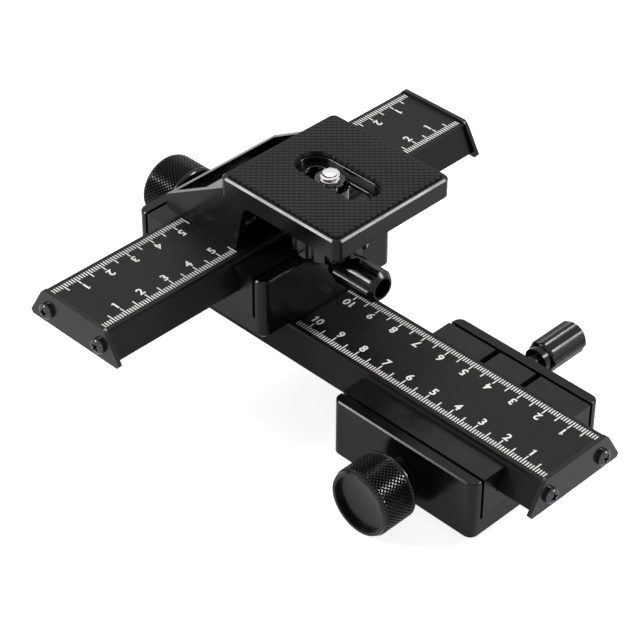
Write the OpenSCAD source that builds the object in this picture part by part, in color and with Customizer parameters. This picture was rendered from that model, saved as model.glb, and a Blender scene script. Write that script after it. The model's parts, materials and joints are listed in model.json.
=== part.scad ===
// Four-way macro focusing rail: two identical dovetail slides, one standing
// crosswise on the end of the other, with a camera platform on the upper rail.
//
// Frame: +Z up, +Y along the lower rail, +X along the upper rail.
// The origin is the mouth of the tripod socket, at the centre of the lower
// block's underside. Each slide unit is drawn in the same local frame, with its
// rail along Y, its drive knob on the -X side and its lock knob on the +X side.

/* [Blocks] */
// Side of each square slide block
block_w = 58.4; // [56:0.2:64]
// Height of each block
block_h = 21.8; // [21:0.1:24]
// Radius of the block's upright corners
block_corner_r = 3; // [1:0.5:5]
// Chamfer around the block's underside
block_foot_chamfer = 0.8; // [0.5:0.1:1.8]
// Thickness of the block's floor
floor_t = 6.9; // [6.5:0.1:7.5]
// Thickness of the block's side walls
wall_t = 3.8; // [3:0.1:4]
// Width of the slit between a side wall and the saddle
slit_w = 1.1; // [0.8:0.1:1.6]
// Width of the clamp shoe, along the rail
shoe_w = 14.8; // [10:0.2:18]
// Width of the slot at each end of the clamp shoe
shoe_slot_w = 2; // [1:0.1:3]

/* [Rails] */
// Length of the lower rail
lower_rail_l = 163.5; // [150:0.5:200]
// Length of the upper rail
upper_rail_l = 160; // [140:1:200]
// How far the lower rail stands out in front of its block's centre
lower_rail_front = 42.7; // [32:0.1:60]
// Width of a rail's top face
rail_top_w = 28.8; // [26:0.2:30]
// Width of a rail's bottom face
rail_bottom_w = 37.2; // [34:0.2:38]
// Height of a rail
rail_h = 10; // [9.5:0.1:10.5]
// Height of the upright lip along a rail's top edges
rail_lip_h = 1.2; // [0.8:0.1:1.6]
// How far a rail's top stands above its block's top
rail_rise = 2.1; // [1.5:0.1:3]
// Sideways offset of the upper block on the lower rail
upper_block_x = 3; // [0:0.1:4]

/* [End caps] */
// Thickness of an end cap
cap_t = 1.5; // [1:0.1:2.5]
// How far a cap stands above the rail's top
cap_rise = 1; // [0.5:0.1:1.6]
// How far a cap hangs below the rail's bottom
cap_drop = 1; // [0.5:0.1:2]
// Width of a cap at its top edge
cap_top_w = 28.6; // [26:0.2:32]
// Width of a cap at its bottom edge
cap_bottom_w = 41.8; // [36:0.2:44]
// Distance between a cap's two screws
cap_screw_spacing = 24.2; // [20:0.2:25]
// Depth of the cap screws below the rail's top
cap_screw_drop = 5.9; // [4.8:0.1:6]

/* [Knobs] */
// Diameter of a drive knob
drive_knob_d = 23; // [18:0.5:26]
// Length of a drive knob
drive_knob_l = 13.9; // [10:0.1:18]
// Gap between the block and the back of the drive knob
drive_knob_gap = 4.6; // [4:0.1:8]
// Diameter of the recess in a drive knob's face
drive_recess_d = 19.2; // [12:0.2:20]
// Depth of that recess
drive_recess_depth = 2.2; // [1:0.1:3]
// Diameter of a lock knob over its ridges
lock_knob_d = 11.2; // [10:0.2:12]
// Length of a lock knob's fluted barrel
lock_knob_l = 17.2; // [12:0.2:24]
// Gap between the block and a lock knob's barrel
lock_knob_gap = 6.2; // [4:0.2:10]
// Number of flutes around a lock knob
lock_flutes = 8; // [6:1:10]
// Height of the lock knob's axis above the block's underside
lock_z = 17.5; // [16.6:0.1:18]

/* [Rack and pinion] */
// Tooth module
gear_module = 0.8; // [0.8:0.01:0.82]
// Number of teeth on a pinion
pinion_teeth = 13; // [13]
// Width of a pinion
pinion_w = 4.6; // [3:0.2:5]
// Width of a rack
rack_w = 5; // [5:0.1:5.6]
// Depth of the rack's groove in the rail
rack_groove_depth = 2; // [1.8:0.1:2.1]
// Sideways offset of the rack from the rail's centre, towards the drive knob
rack_offset = 11; // [10.9:0.1:11.5]
// Diameter of a drive shaft
shaft_d = 6; // [5:0.5:6]

/* [Camera platform] */
// Width of the plate, along the rail
plate_w = 50.5; // [47:0.5:56]
// Length of the plate, across the rail
plate_l = 51; // [46:0.5:56]
// Thickness of the plate, over its skirt
plate_t = 7.2; // [6.5:0.1:8]
// Height of the plate's top above the upper rail
plate_rise = 26; // [25:0.1:32]
// Distance from the rail's centre to the plate's centre
plate_reach = 31.5; // [31:0.1:36]
// Width of the platform's foot, along the rail
foot_l = 48.4; // [44:0.2:49]
// How far the foot reaches behind the rail's centre
foot_back = 20.4; // [19:0.1:22]
// How far the foot reaches in front of the rail's centre
foot_front = 11.7; // [10:0.1:12]
// Thickness of the foot's floor
foot_t = 3; // [2:0.1:4]
// How far the pocket behind the platform reaches forward of the foot's back
pocket_l = 16.6; // [14:0.1:17]
// Height of the rim behind the platform's pocket
back_rim_h = 5.5; // [5:0.1:7]
// Thickness of the platform's walls
platform_wall_t = 2.4; // [2:0.1:3]
// Distance from the rail's centre to the middle of the camera screw's slot
slot_reach = 32.6; // [32:0.1:33]
// Length of the camera screw slot in the pad
slot_l = 31.2; // [28:0.2:36]
// Width of the camera screw slot in the pad
slot_w = 12.6; // [11:0.2:15]
// Width of the plate's rim around the pad
pad_rim = 1.8; // [1:0.1:3]
// How far the pad stands above the plate
pad_rise = 0.7; // [0.3:0.1:1.2]

/* [Camera screw] */
// Diameter of the camera screw's thread
camera_screw_d = 6.2; // [6:0.1:6.35]
// How far the screw's tip lies below the pad's face
screw_tip_drop = 0.4; // [0:0.1:1]
// Distance from the rail's centre to the screw's axis
screw_reach = 29.2; // [29:0.1:30]
// Diameter of the thumbwheel over its corners
thumbwheel_d = 26; // [20:0.5:26.5]
// Height of the thumbwheel
thumbwheel_h = 6.6; // [5:0.1:8]
// Gap between the thumbwheel and the level of the rail's top
thumbwheel_gap = 0.2; // [0.1:0.1:1]
// Number of finger notches around the thumbwheel
thumbwheel_notches = 12; // [8:1:12]

/* [Tripod socket] */
// Tapping diameter of the tripod socket
tripod_bore_d = 5.1; // [5:0.1:5.2]
// Outside diameter of the threaded bush that forms the socket
tripod_bush_d = 9.6; // [9:0.1:9.6]
// Length of that bush
tripod_bush_l = 6.5; // [5:0.1:6.5]

/* [Hidden] */

$fn = 64;

// Clearances
slide_gap = 0.06;      // between a rail's flank and its saddle, square to the flank
bed_gap = 0.1;         // under a rail, over its saddle's bed
shaft_gap = 0.03;      // radial, around a turning shaft
screw_gap = 0.05;      // radial, around a screw's shank
seat_gap = 0.02;       // radial, between pieces fixed to each other
face_gap = 0.2;        // between faces that turn past each other
overcut = 1;           // how far a cutting shape runs past a face

// Heights of one slide unit, above its block's underside
rail_top_z = block_h + rail_rise;
rail_bottom_z = rail_top_z - rail_h;
rail_lip_z = rail_top_z - rail_lip_h;
bed_z = rail_bottom_z - bed_gap;

// Section of a rail
rail_undercut = 0.2;   // step under the lip
flank_top_x = rail_top_w / 2 - rail_undercut;
flank_bottom_x = rail_bottom_w / 2;
flank_slope = (flank_bottom_x - flank_top_x) / (rail_lip_z - rail_bottom_z);
flank_gap_x = slide_gap * sqrt(1 + flank_slope * flank_slope);
function saddle_flank_x(z) =
    max(flank_top_x + (rail_lip_z - z) * flank_slope, rail_top_w / 2) + flank_gap_x;

// Places across a block
half_w = block_w / 2;
wall_in_x = half_w - wall_t;
saddle_x = wall_in_x - slit_w;
saddle_edge_chamfer = 0.5;
block_top_chamfer = 0.5;

// Rack and pinion
pressure_angle = 25;
backlash = 0.12;       // total, at the pitch line
pitch_r = gear_module * pinion_teeth / 2;
tooth_pitch = PI * gear_module;
addendum = 0.9 * gear_module;
dedendum = 1.15 * gear_module;
tooth_half = (tooth_pitch / 2 - backlash / 2) / 2;
rack_pitch_drop = 0.5; // pitch line below the rail's bottom
rack_pitch_z = rail_bottom_z - rack_pitch_drop;
drive_z = rack_pitch_z - pitch_r;
rack_x = -rack_offset;
rack_end_gap = 1;
rack_groove_gap = 0.05;
rack_top_z = rail_bottom_z + rack_groove_depth;
rack_tip_z = rack_pitch_z - addendum;

// Drive shaft and its bearings
pinion_tip_r = pitch_r + addendum;
pinion_pocket_gap = 0.6;   // around the pinion and beside the rack
pocket_end_gap = 1;        // past the pinion, along the rail
shaft_trench_gap = 0.4;    // around the shaft where it crosses the floor
rack_tip_gap = 0.4;        // under the rack's teeth
pocket_half_y = pinion_tip_r + pocket_end_gap;
bearing_wall_t = 2.4;
bearing_wall_w = 10;
bearing_wall_rise = 4.8;   // above the shaft's axis
bearing_wall_x = rack_x + rack_w / 2 + pinion_pocket_gap;
bearing_wall_top_z = drive_z + bearing_wall_rise;
bush_t = 1;
bush_flange_t = 1;
flange_cap_gap = 0.7;      // from the upper bush's flange down to the cap below it
bush_flange_r = drive_z - cap_rise - flange_cap_gap;
shaft_r = shaft_d / 2;
shaft_end_x = bearing_wall_x + bearing_wall_t;
hub_step = 0.5;            // of the knob's hub inside the flange
drive_hub_r = bush_flange_r - hub_step;
drive_back_x = half_w + drive_knob_gap;
drive_front_x = drive_back_x + drive_knob_l;
knob_end_wall = 3;         // between the shaft's end and the knob's recess
shaft_knob_end_x = drive_front_x - drive_recess_depth - knob_end_wall;
hub_back_x = half_w + bush_flange_t + face_gap;
grub_r = 1.5;
grub_hex_r = 0.8;
grub_sink = 0.3;           // of its end below the hub's surface
grub_x = (hub_back_x + drive_back_x) / 2;

// Clamp and its lock knob
clamp_cut_y = shoe_w / 2 + shoe_slot_w;
shoe_rest_gap = 0.05;
lock_screw_r = 2.5;
lock_tip_gap = 0.02;
lock_in_x = half_w + lock_knob_gap;
lock_out_x = lock_in_x + lock_knob_l;
lock_r = lock_knob_d / 2;
lock_neck_r = 0.78 * lock_r;
lock_neck_l = 2.4;
lock_socket_r = 0.6 * lock_r;
lock_socket_depth = 4;
lock_end_wall = 1;         // between the screw's end and the knob's socket
lock_screw_end_x = lock_out_x - lock_socket_depth - lock_end_wall;

// Screws
m3_r = 1.5;
m4_r = 2;
cap_head_r = 2.7;
cap_head_h = 1.9;
cap_screw_l = 8;
cross_w = 0.8;
cross_l = 3;
cross_depth = 1;
saddle_screw_x = 18;
saddle_screw_y = 20;
saddle_screw_l = 11.5;
flat_head_r = 3;
flat_head_h = 1.6;
housing_screw_dx = 18;
housing_screw_dy = 6.25;
housing_screw_depth = 5.5;
socket_head_r = 3.5;
socket_head_h = 4;
socket_head_sink = 4.2;
hex_r = 1.7;
screw_tip_gap = 0.5;       // between a screw's tip and the end of its hole

// Place of the upper unit on the lower rail
lower_rail_y0 = -lower_rail_front;
lower_rail_y1 = lower_rail_y0 + lower_rail_l;
upper_block_y = lower_rail_y1 - half_w;
upper_rail_y0 = -upper_rail_l / 2;
upper_rail_y1 = upper_rail_l / 2;

// Camera platform, measured from the centre of the upper rail's top
plate_bottom_w = plate_rise - plate_t;
plate_corner_r = 2.5;
plate_foot_chamfer = 0.4;
plate_top_chamfer = 0.6;
plate_back_v = plate_l / 2 - plate_reach;
skirt_t = 3;
skirt_depth = 3;
slope_top_rise = 2;        // of the sloping roof, above the plate's lower edge
slope_top_w = plate_bottom_w + slope_top_rise;
slope = (slope_top_w - back_rim_h) / (foot_back - plate_back_v);
pocket_v = foot_back - pocket_l;
pocket_top_w = back_rim_h + slope * pocket_l;
roof_t = 2.6;
web_lean = 4;
web_arch_r = 3;
foot_heel_r = 2.6;
pad_recess = 1;
pad_t = pad_recess + pad_rise;
slot_ledge_drop = 2.8;     // below the plate's top
ledge_w = plate_rise - slot_ledge_drop;
inner_slot_w = 7;
inner_slot_l = slot_l - (slot_w - inner_slot_w);
platform_screw_u = 14;
platform_screw_v = [-5.5, 11];
platform_screw_l = 9;
platform_head_r = 3.6;
platform_head_h = 2.6;

// Camera screw
clip_t = 0.8;
clip_r = 4.8;
screw_top_w = plate_rise + pad_rise - screw_tip_drop;
thumbwheel_hub_r = 6;
thumbwheel_hub_gap = 0.5;  // under the plate
thumbwheel_hub_top_w = plate_bottom_w + skirt_depth - thumbwheel_hub_gap;
notch_r = 1.5;

// ---------------------------------------------------------------- helpers

// Places a drawing of the upper unit on the lower rail
module at_upper() {
    translate([upper_block_x, upper_block_y, rail_top_z])
        rotate([0, 0, -90]) children();
}

// Places a drawing of the platform on the upper rail: X is along the rail
module at_platform() {
    translate([upper_block_x, upper_block_y, 2 * rail_top_z]) children();
}

// Cylinder along X, from x0 to x1
module rod_x(r, x0, x1) {
    translate([x0, 0, 0]) rotate([0, 90, 0]) cylinder(r = r, h = x1 - x0);
}

// Rounded rectangle, centred
module round_rect(size, r) {
    square([size[0] - 2 * r, size[1]], center = true);
    square([size[0], size[1] - 2 * r], center = true);
    for (sx = [-1, 1], sy = [-1, 1])
        translate([sx * (size[0] / 2 - r), sy * (size[1] / 2 - r)]) circle(r = r);
}

// Upright half section of a block with bevelled edges, from its axis outwards
function bevelled_half(half, h, bottom_bevel, top_bevel) = [
    [half - bottom_bevel, 0],
    [half, bottom_bevel],
    [half, h - top_bevel],
    [half - top_bevel, h]
];

// Block with rounded upright corners and bevelled top and bottom edges
module soft_block(size, r, bottom_bevel, top_bevel) {
    span = [size[0] - 2 * r, size[1] - 2 * r];
    for (sx = [-1, 1], sy = [-1, 1])
        translate([sx * span[0] / 2, sy * span[1] / 2, 0])
            rotate_extrude()
                polygon(concat([[0, size[2]], [0, 0]],
                    bevelled_half(r, size[2], bottom_bevel, top_bevel)));
    for (turned = [0, 1]) {
        side = bevelled_half(size[turned] / 2, size[2], bottom_bevel, top_bevel);
        other_side = [for (i = [len(side) - 1 : -1 : 0]) [-side[i][0], side[i][1]]];
        rotate([90, 0, 90 * turned])
            translate([0, 0, -span[1 - turned] / 2])
                linear_extrude(span[1 - turned])
                    polygon(concat(side, other_side));
    }
}

// Slot outline with round ends, long side along Y
module slot_shape(l, w) {
    square([w, l - w], center = true);
    for (s = [-1, 1]) translate([0, s * (l - w) / 2]) circle(d = w);
}

// Draws a section given in X and Z, from y0 to y1
module along_y(y0, y1) {
    translate([0, y1, 0]) rotate([90, 0, 0]) linear_extrude(y1 - y0) children();
}

// Pan-head screw along -Z, with a cross recess, head seated at z = 0
module pan_screw(shank_r, shank_l, head_r, head_h) {
    round_h = head_h / 3;
    difference() {
        union() {
            cylinder(r = head_r, h = head_h - round_h);
            translate([0, 0, head_h - round_h])
                cylinder(r1 = head_r, r2 = head_r - round_h, h = round_h);
            translate([0, 0, -shank_l]) cylinder(r = shank_r, h = shank_l);
        }
        for (turn = [45, 135])
            rotate([0, 0, turn])
                translate([-cross_l / 2, -cross_w / 2, head_h - cross_depth])
                    cube([cross_l, cross_w, cross_depth + overcut]);
    }
}

// Socket-head screw along +Z from its head, which fills z = 0 to its height
module socket_screw(shank_r, shank_l) {
    difference() {
        union() {
            cylinder(r = socket_head_r, h = socket_head_h);
            translate([0, 0, socket_head_h]) cylinder(r = shank_r, h = shank_l);
        }
        translate([0, 0, -overcut])
            cylinder(r = hex_r, h = socket_head_h / 2 + overcut, $fn = 6);
    }
}

// ------------------------------------------------------- gear tooth shapes

function involute(angle) = tan(angle) - angle * PI / 180;

// Half the angle that a pinion tooth takes up at radius r, in degrees
function tooth_half_angle(r) =
    let (base_r = pitch_r * cos(pressure_angle))
    let (inv_here = r > base_r ? involute(acos(base_r / r)) : 0)
    (tooth_half / pitch_r + involute(pressure_angle) - inv_here) * 180 / PI;

// Outline of one pinion tooth, pointing along +Y, from root to root
function tooth_points(root_r, tip_r, steps) =
    let (base_r = max(root_r, pitch_r * cos(pressure_angle)))
    let (radii = concat([root_r], [for (i = [0 : steps])
        base_r + (tip_r - base_r) * i / steps]))
    concat(
        [for (r = radii) let (a = tooth_half_angle(r)) [-r * sin(a), r * cos(a)]],
        [for (i = [len(radii) - 1 : -1 : 0])
            let (r = radii[i], a = tooth_half_angle(r)) [r * sin(a), r * cos(a)]]
    );

module pinion_shape() {
    root_r = pitch_r - dedendum;
    points = tooth_points(root_r, pinion_tip_r, 5);
    circle(r = root_r + seat_gap);
    for (k = [0 : pinion_teeth - 1])
        rotate((k + 0.5) * 360 / pinion_teeth)
            polygon(concat([[0, 0]], points));
}

// Rack section in Y and Z, teeth down, with one tooth centred on y = 0
module rack_shape(y0, y1) {
    lean = tan(pressure_angle);
    root_z = rack_pitch_z + dedendum;
    tip_half = tooth_half - addendum * lean;
    root_half = tooth_half + dedendum * lean;
    first = ceil((y0 + root_half) / tooth_pitch);
    last = floor((y1 - root_half) / tooth_pitch);
    teeth = [for (k = [first : last]) each [
        [k * tooth_pitch - root_half, root_z],
        [k * tooth_pitch - tip_half, rack_tip_z],
        [k * tooth_pitch + tip_half, rack_tip_z],
        [k * tooth_pitch + root_half, root_z]
    ]];
    polygon(concat([[y0, rack_top_z], [y0, root_z]], teeth,
        [[y1, root_z], [y1, rack_top_z]]));
}

// --------------------------------------------------- pieces of a slide unit

// U-shaped block: floor, two side walls and the bearing for the drive shaft
module housing() {
    trench_half = shaft_r + shaft_trench_gap;
    pocket_bottom_z = drive_z - pinion_tip_r - pinion_pocket_gap;
    pocket_x0 = rack_x - pinion_w / 2 - pinion_pocket_gap;
    difference() {
        union() {
            difference() {
                soft_block([block_w, block_w, block_h], block_corner_r,
                    block_foot_chamfer, block_top_chamfer);
                translate([-wall_in_x, -half_w - overcut, floor_t])
                    cube([2 * wall_in_x, block_w + 2 * overcut, block_h]);
            }
            translate([bearing_wall_x, -bearing_wall_w / 2, floor_t - overcut])
                cube([bearing_wall_t, bearing_wall_w,
                    bearing_wall_top_z - floor_t + overcut]);
        }
        // room for the pinion, and for the shaft on its way to the wall
        translate([pocket_x0, -pocket_half_y, pocket_bottom_z])
            cube([bearing_wall_x - pocket_x0, 2 * pocket_half_y,
                floor_t - pocket_bottom_z + overcut]);
        translate([-wall_in_x, -trench_half, drive_z - trench_half])
            cube([wall_in_x + rack_x, 2 * trench_half, floor_t]);
        // bores of the two bushes
        translate([0, 0, drive_z]) {
            rod_x(shaft_r + bush_t + seat_gap, -half_w - overcut, -wall_in_x + overcut);
            rod_x(shaft_r + bush_t + seat_gap, bearing_wall_x - overcut,
                shaft_end_x + overcut / 2);
        }
        // thread of the lock screw
        translate([0, 0, lock_z])
            rod_x(lock_screw_r + screw_gap, wall_in_x - overcut, half_w + overcut);
        // countersunk holes of the saddle's screws
        for (sx = [-1, 1], sy = [-1, 1])
            translate([sx * saddle_screw_x, sy * saddle_screw_y, 0]) {
                translate([0, 0, -overcut])
                    cylinder(r = m3_r + screw_gap, h = floor_t + 2 * overcut);
                translate([0, 0, -seat_gap])
                    cylinder(r1 = flat_head_r + seat_gap, r2 = m3_r + seat_gap,
                        h = flat_head_h);
            }
    }
}

module lower_housing() {
    color([0.09, 0.09, 0.10]) difference() {
        housing();
        translate([0, 0, -overcut])
            cylinder(d = tripod_bush_d + 2 * seat_gap, h = tripod_bush_l + overcut);
    }
}

module upper_housing() {
    color([0.09, 0.09, 0.10]) at_upper() difference() {
        housing();
        for (sx = [-1, 1], sy = [-1, 1])
            translate([sx * housing_screw_dx, sy * housing_screw_dy, -overcut])
                cylinder(r = m4_r + screw_gap, h = housing_screw_depth + overcut);
    }
}

// Dovetail bed that the rail slides in
module saddle() {
    edge_z = block_h - saddle_edge_chamfer;
    top_in_x = saddle_flank_x(edge_z) + saddle_edge_chamfer;
    pocket_x1 = shaft_end_x + shaft_trench_gap;
    channel_w = rack_w + 2 * pinion_pocket_gap;
    difference() {
        along_y(-half_w, half_w) difference() {
            translate([-saddle_x, floor_t]) square([2 * saddle_x, block_h - floor_t]);
            polygon([
                [-saddle_flank_x(bed_z), bed_z],
                [-saddle_flank_x(edge_z), edge_z],
                [-top_in_x, block_h],
                [-top_in_x, block_h + overcut],
                [top_in_x, block_h + overcut],
                [top_in_x, block_h],
                [saddle_flank_x(edge_z), edge_z],
                [saddle_flank_x(bed_z), bed_z]
            ]);
        }
        // channel for the rack's teeth
        translate([rack_x - channel_w / 2, -half_w - overcut, rack_tip_z - rack_tip_gap])
            cube([channel_w, block_w + 2 * overcut, rail_h]);
        // room for the pinion, its shaft and its bearing
        translate([-saddle_x - overcut, -pocket_half_y, floor_t - overcut])
            cube([pocket_x1 + saddle_x + overcut, 2 * pocket_half_y,
                bed_z - floor_t + overcut]);
        // the clamp shoe's place in the jaw on the lock side
        translate([0, -clamp_cut_y, bed_z])
            cube([saddle_x + overcut, 2 * clamp_cut_y, block_h]);
        for (sx = [-1, 1], sy = [-1, 1])
            translate([sx * saddle_screw_x, sy * saddle_screw_y, floor_t - overcut])
                cylinder(r = m3_r + screw_gap,
                    h = saddle_screw_l - floor_t + overcut + seat_gap);
    }
}

module lower_saddle() { color([0.12, 0.12, 0.13]) saddle(); }
module upper_saddle() { color([0.12, 0.12, 0.13]) at_upper() saddle(); }

// Loose piece of the jaw that the lock screw presses against the rail
module clamp_shoe() {
    bottom_z = bed_z + shoe_rest_gap;
    edge_z = block_h - saddle_edge_chamfer;
    along_y(-shoe_w / 2, shoe_w / 2) polygon([
        [saddle_flank_x(bottom_z), bottom_z],
        [saddle_flank_x(edge_z), edge_z],
        [saddle_flank_x(edge_z) + saddle_edge_chamfer, block_h],
        [saddle_x, block_h],
        [saddle_x, bottom_z]
    ]);
}

module lower_clamp_shoe() { color([0.12, 0.12, 0.13]) clamp_shoe(); }
module upper_clamp_shoe() { color([0.12, 0.12, 0.13]) at_upper() clamp_shoe(); }

// Countersunk screws that hold the saddle down in the housing
module saddle_screws() {
    for (sx = [-1, 1], sy = [-1, 1])
        translate([sx * saddle_screw_x, sy * saddle_screw_y, 0])
            difference() {
                union() {
                    cylinder(r1 = flat_head_r, r2 = m3_r, h = flat_head_h);
                    cylinder(r = m3_r, h = saddle_screw_l);
                }
                for (turn = [0, 90])
                    rotate([0, 0, turn])
                        translate([-cross_l / 2, -cross_w / 2, -overcut])
                            cube([cross_l, cross_w, cross_depth + overcut]);
            }
}

module lower_saddle_screws() { color([0.6, 0.6, 0.62]) saddle_screws(); }
module upper_saddle_screws() { color([0.6, 0.6, 0.62]) at_upper() saddle_screws(); }

// Bush in the side wall, with a flange on the outside
module outer_bush() {
    translate([0, 0, drive_z]) difference() {
        union() {
            rod_x(shaft_r + bush_t, -half_w, -wall_in_x);
            rod_x(bush_flange_r, -half_w - bush_flange_t, -half_w);
        }
        rod_x(shaft_r + shaft_gap, -half_w - bush_flange_t - overcut,
            -wall_in_x + overcut);
    }
}

// Bush in the bearing wall, past the pinion
module inner_bush() {
    translate([0, 0, drive_z]) difference() {
        rod_x(shaft_r + bush_t, bearing_wall_x, shaft_end_x);
        rod_x(shaft_r + shaft_gap, bearing_wall_x - overcut, shaft_end_x + overcut);
    }
}

module lower_outer_bush() { color([0.11, 0.11, 0.12]) outer_bush(); }
module upper_outer_bush() { color([0.11, 0.11, 0.12]) at_upper() outer_bush(); }
module lower_inner_bush() { color([0.72, 0.58, 0.30]) inner_bush(); }
module upper_inner_bush() { color([0.72, 0.58, 0.30]) at_upper() inner_bush(); }

// Drive shaft with the pinion cut on it
module pinion_shaft() {
    translate([0, 0, drive_z]) {
        rod_x(shaft_r, -shaft_knob_end_x, shaft_end_x);
        translate([rack_x - pinion_w / 2, 0, 0])
            rotate([90, 0, 90]) linear_extrude(pinion_w) pinion_shape();
    }
}

module lower_pinion_shaft() { color([0.65, 0.65, 0.67]) pinion_shaft(); }
module upper_pinion_shaft() { color([0.65, 0.65, 0.67]) at_upper() pinion_shaft(); }

// Round knob with a dished face and a hub that reaches back to the bush
module drive_knob() {
    r = drive_knob_d / 2;
    edge = 0.8;
    front_edge = 1.6;
    recess_r = drive_recess_d / 2;
    bore_r = shaft_r + seat_gap;
    floor_x = drive_front_x - drive_recess_depth;
    difference() {
        translate([0, 0, drive_z])
            rotate([0, -90, 0])
                rotate_extrude() polygon([
                    [bore_r, hub_back_x],
                    [drive_hub_r, hub_back_x],
                    [drive_hub_r, drive_back_x],
                    [r - edge, drive_back_x],
                    [r, drive_back_x + edge],
                    [r, drive_front_x - front_edge],
                    [r - front_edge / 2, drive_front_x],
                    [recess_r, drive_front_x],
                    [recess_r, floor_x],
                    [0, floor_x],
                    [0, shaft_knob_end_x + seat_gap],
                    [bore_r, shaft_knob_end_x + seat_gap]
                ]);
        translate([-grub_x, 0, drive_z]) cylinder(r = grub_r + seat_gap, h = r);
    }
}

module lower_drive_knob() { color([0.05, 0.05, 0.05]) drive_knob(); }
module upper_drive_knob() { color([0.05, 0.05, 0.05]) at_upper() drive_knob(); }

// Set screw that pins the knob's hub to the shaft
module grub_screw() {
    grub_l = drive_hub_r - shaft_r - grub_sink;
    translate([-grub_x, 0, drive_z + shaft_r + seat_gap]) difference() {
        cylinder(r = grub_r, h = grub_l);
        translate([0, 0, grub_l / 2]) cylinder(r = grub_hex_r, h = grub_l, $fn = 6);
    }
}

module lower_grub_screw() { color([0.3, 0.3, 0.32]) grub_screw(); }
module upper_grub_screw() { color([0.3, 0.3, 0.32]) at_upper() grub_screw(); }

// Threaded rod moulded into the lock knob; its tip bears on the clamp shoe
module lock_screw() {
    tip = 0.5;
    start_x = saddle_x + lock_tip_gap;
    translate([0, 0, lock_z]) {
        rod_x(lock_screw_r, start_x + tip, lock_screw_end_x);
        translate([start_x, 0, 0]) rotate([0, 90, 0])
            cylinder(r1 = lock_screw_r - tip, r2 = lock_screw_r, h = tip);
    }
}

module lower_lock_screw() { color([0.7, 0.7, 0.72]) lock_screw(); }
module upper_lock_screw() { color([0.7, 0.7, 0.72]) at_upper() lock_screw(); }

// Fluted barrel knob with a neck and a round socket in its end
module lock_knob() {
    edge_in = 0.9;
    edge_out = 1.5;
    flute_r = 0.75 * lock_r;
    flute_depth = 0.09 * lock_r;
    translate([0, 0, lock_z]) rotate([0, 90, 0]) difference() {
        rotate_extrude() polygon([
            [0, lock_in_x - lock_neck_l],
            [lock_neck_r, lock_in_x - lock_neck_l],
            [lock_neck_r, lock_in_x],
            [lock_r - edge_in, lock_in_x],
            [lock_r, lock_in_x + edge_in],
            [lock_r, lock_out_x - edge_out],
            [lock_r - edge_out, lock_out_x],
            [lock_socket_r, lock_out_x],
            [lock_socket_r, lock_out_x - lock_socket_depth],
            [0, lock_out_x - lock_socket_depth]
        ]);
        translate([0, 0, lock_in_x - lock_neck_l - overcut])
            cylinder(r = lock_screw_r + seat_gap,
                h = lock_screw_end_x - lock_in_x + lock_neck_l + overcut + seat_gap);
        for (k = [0 : lock_flutes - 1])
            rotate([0, 0, (k + 0.5) * 360 / lock_flutes])
                translate([lock_r + flute_r - flute_depth, 0, lock_in_x - overcut])
                    cylinder(r = flute_r, h = lock_knob_l + 2 * overcut);
    }
}

module lower_lock_knob() { color([0.04, 0.04, 0.04]) lock_knob(); }
module upper_lock_knob() { color([0.04, 0.04, 0.04]) at_upper() lock_knob(); }

// ---------------------------------------------- pieces that a rail carries

// Dovetail rail with a groove for its rack and tapped holes in its ends
module rail(y0, y1) {
    foot_edge = 0.5;
    half_top = rail_top_w / 2;
    difference() {
        along_y(y0, y1) difference() {
            polygon([
                [-half_top, rail_top_z],
                [-half_top, rail_lip_z],
                [-flank_top_x, rail_lip_z],
                [-flank_bottom_x + foot_edge * flank_slope, rail_bottom_z + foot_edge],
                [-flank_bottom_x + foot_edge, rail_bottom_z],
                [flank_bottom_x - foot_edge, rail_bottom_z],
                [flank_bottom_x - foot_edge * flank_slope, rail_bottom_z + foot_edge],
                [flank_top_x, rail_lip_z],
                [half_top, rail_lip_z],
                [half_top, rail_top_z]
            ]);
            translate([rack_x - rack_w / 2 - rack_groove_gap, rail_bottom_z - overcut])
                square([rack_w + 2 * rack_groove_gap, rack_groove_depth + overcut]);
        }
        for (s = [-1, 1], y = [y0, y1])
            translate([s * cap_screw_spacing / 2, y, rail_top_z - cap_screw_drop])
                rotate([90, 0, 0])
                    cylinder(r = m3_r + screw_gap,
                        h = 2 * (cap_screw_l + screw_tip_gap), center = true);
    }
}

module rack(y0, y1) {
    translate([rack_x - rack_w / 2, 0, 0])
        rotate([90, 0, 90]) linear_extrude(rack_w)
            rack_shape(y0 + rack_end_gap, y1 - rack_end_gap);
}

// Flat plate across a rail's end, from y to y + cap_t
module end_cap(y) {
    corner = 1.2;
    top = cap_top_w / 2;
    bottom = cap_bottom_w / 2;
    top_z = rail_top_z + cap_rise;
    bottom_z = rail_bottom_z - cap_drop;
    side = (bottom - top) / (top_z - bottom_z);
    difference() {
        along_y(y, y + cap_t) polygon([
            [-top + corner / 2, top_z],
            [-top - corner * side, top_z - corner],
            [-bottom + corner * side / 2, bottom_z + corner],
            [-bottom + corner, bottom_z],
            [bottom - corner, bottom_z],
            [bottom - corner * side / 2, bottom_z + corner],
            [top + corner * side, top_z - corner],
            [top - corner / 2, top_z]
        ]);
        for (s = [-1, 1])
            translate([s * cap_screw_spacing / 2, y - overcut,
                rail_top_z - cap_screw_drop])
                rotate([-90, 0, 0])
                    cylinder(r = m3_r + screw_gap, h = cap_t + 2 * overcut);
    }
}

// The four screws of a rail's two end caps
module cap_screws(y0, y1) {
    for (s = [-1, 1], front = [0, 1])
        translate([s * cap_screw_spacing / 2, front ? y0 - cap_t : y1 + cap_t,
            rail_top_z - cap_screw_drop])
            rotate([front ? 90 : -90, 0, 0])
                pan_screw(m3_r, cap_screw_l + cap_t - screw_tip_gap,
                    cap_head_r, cap_head_h);
}

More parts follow.
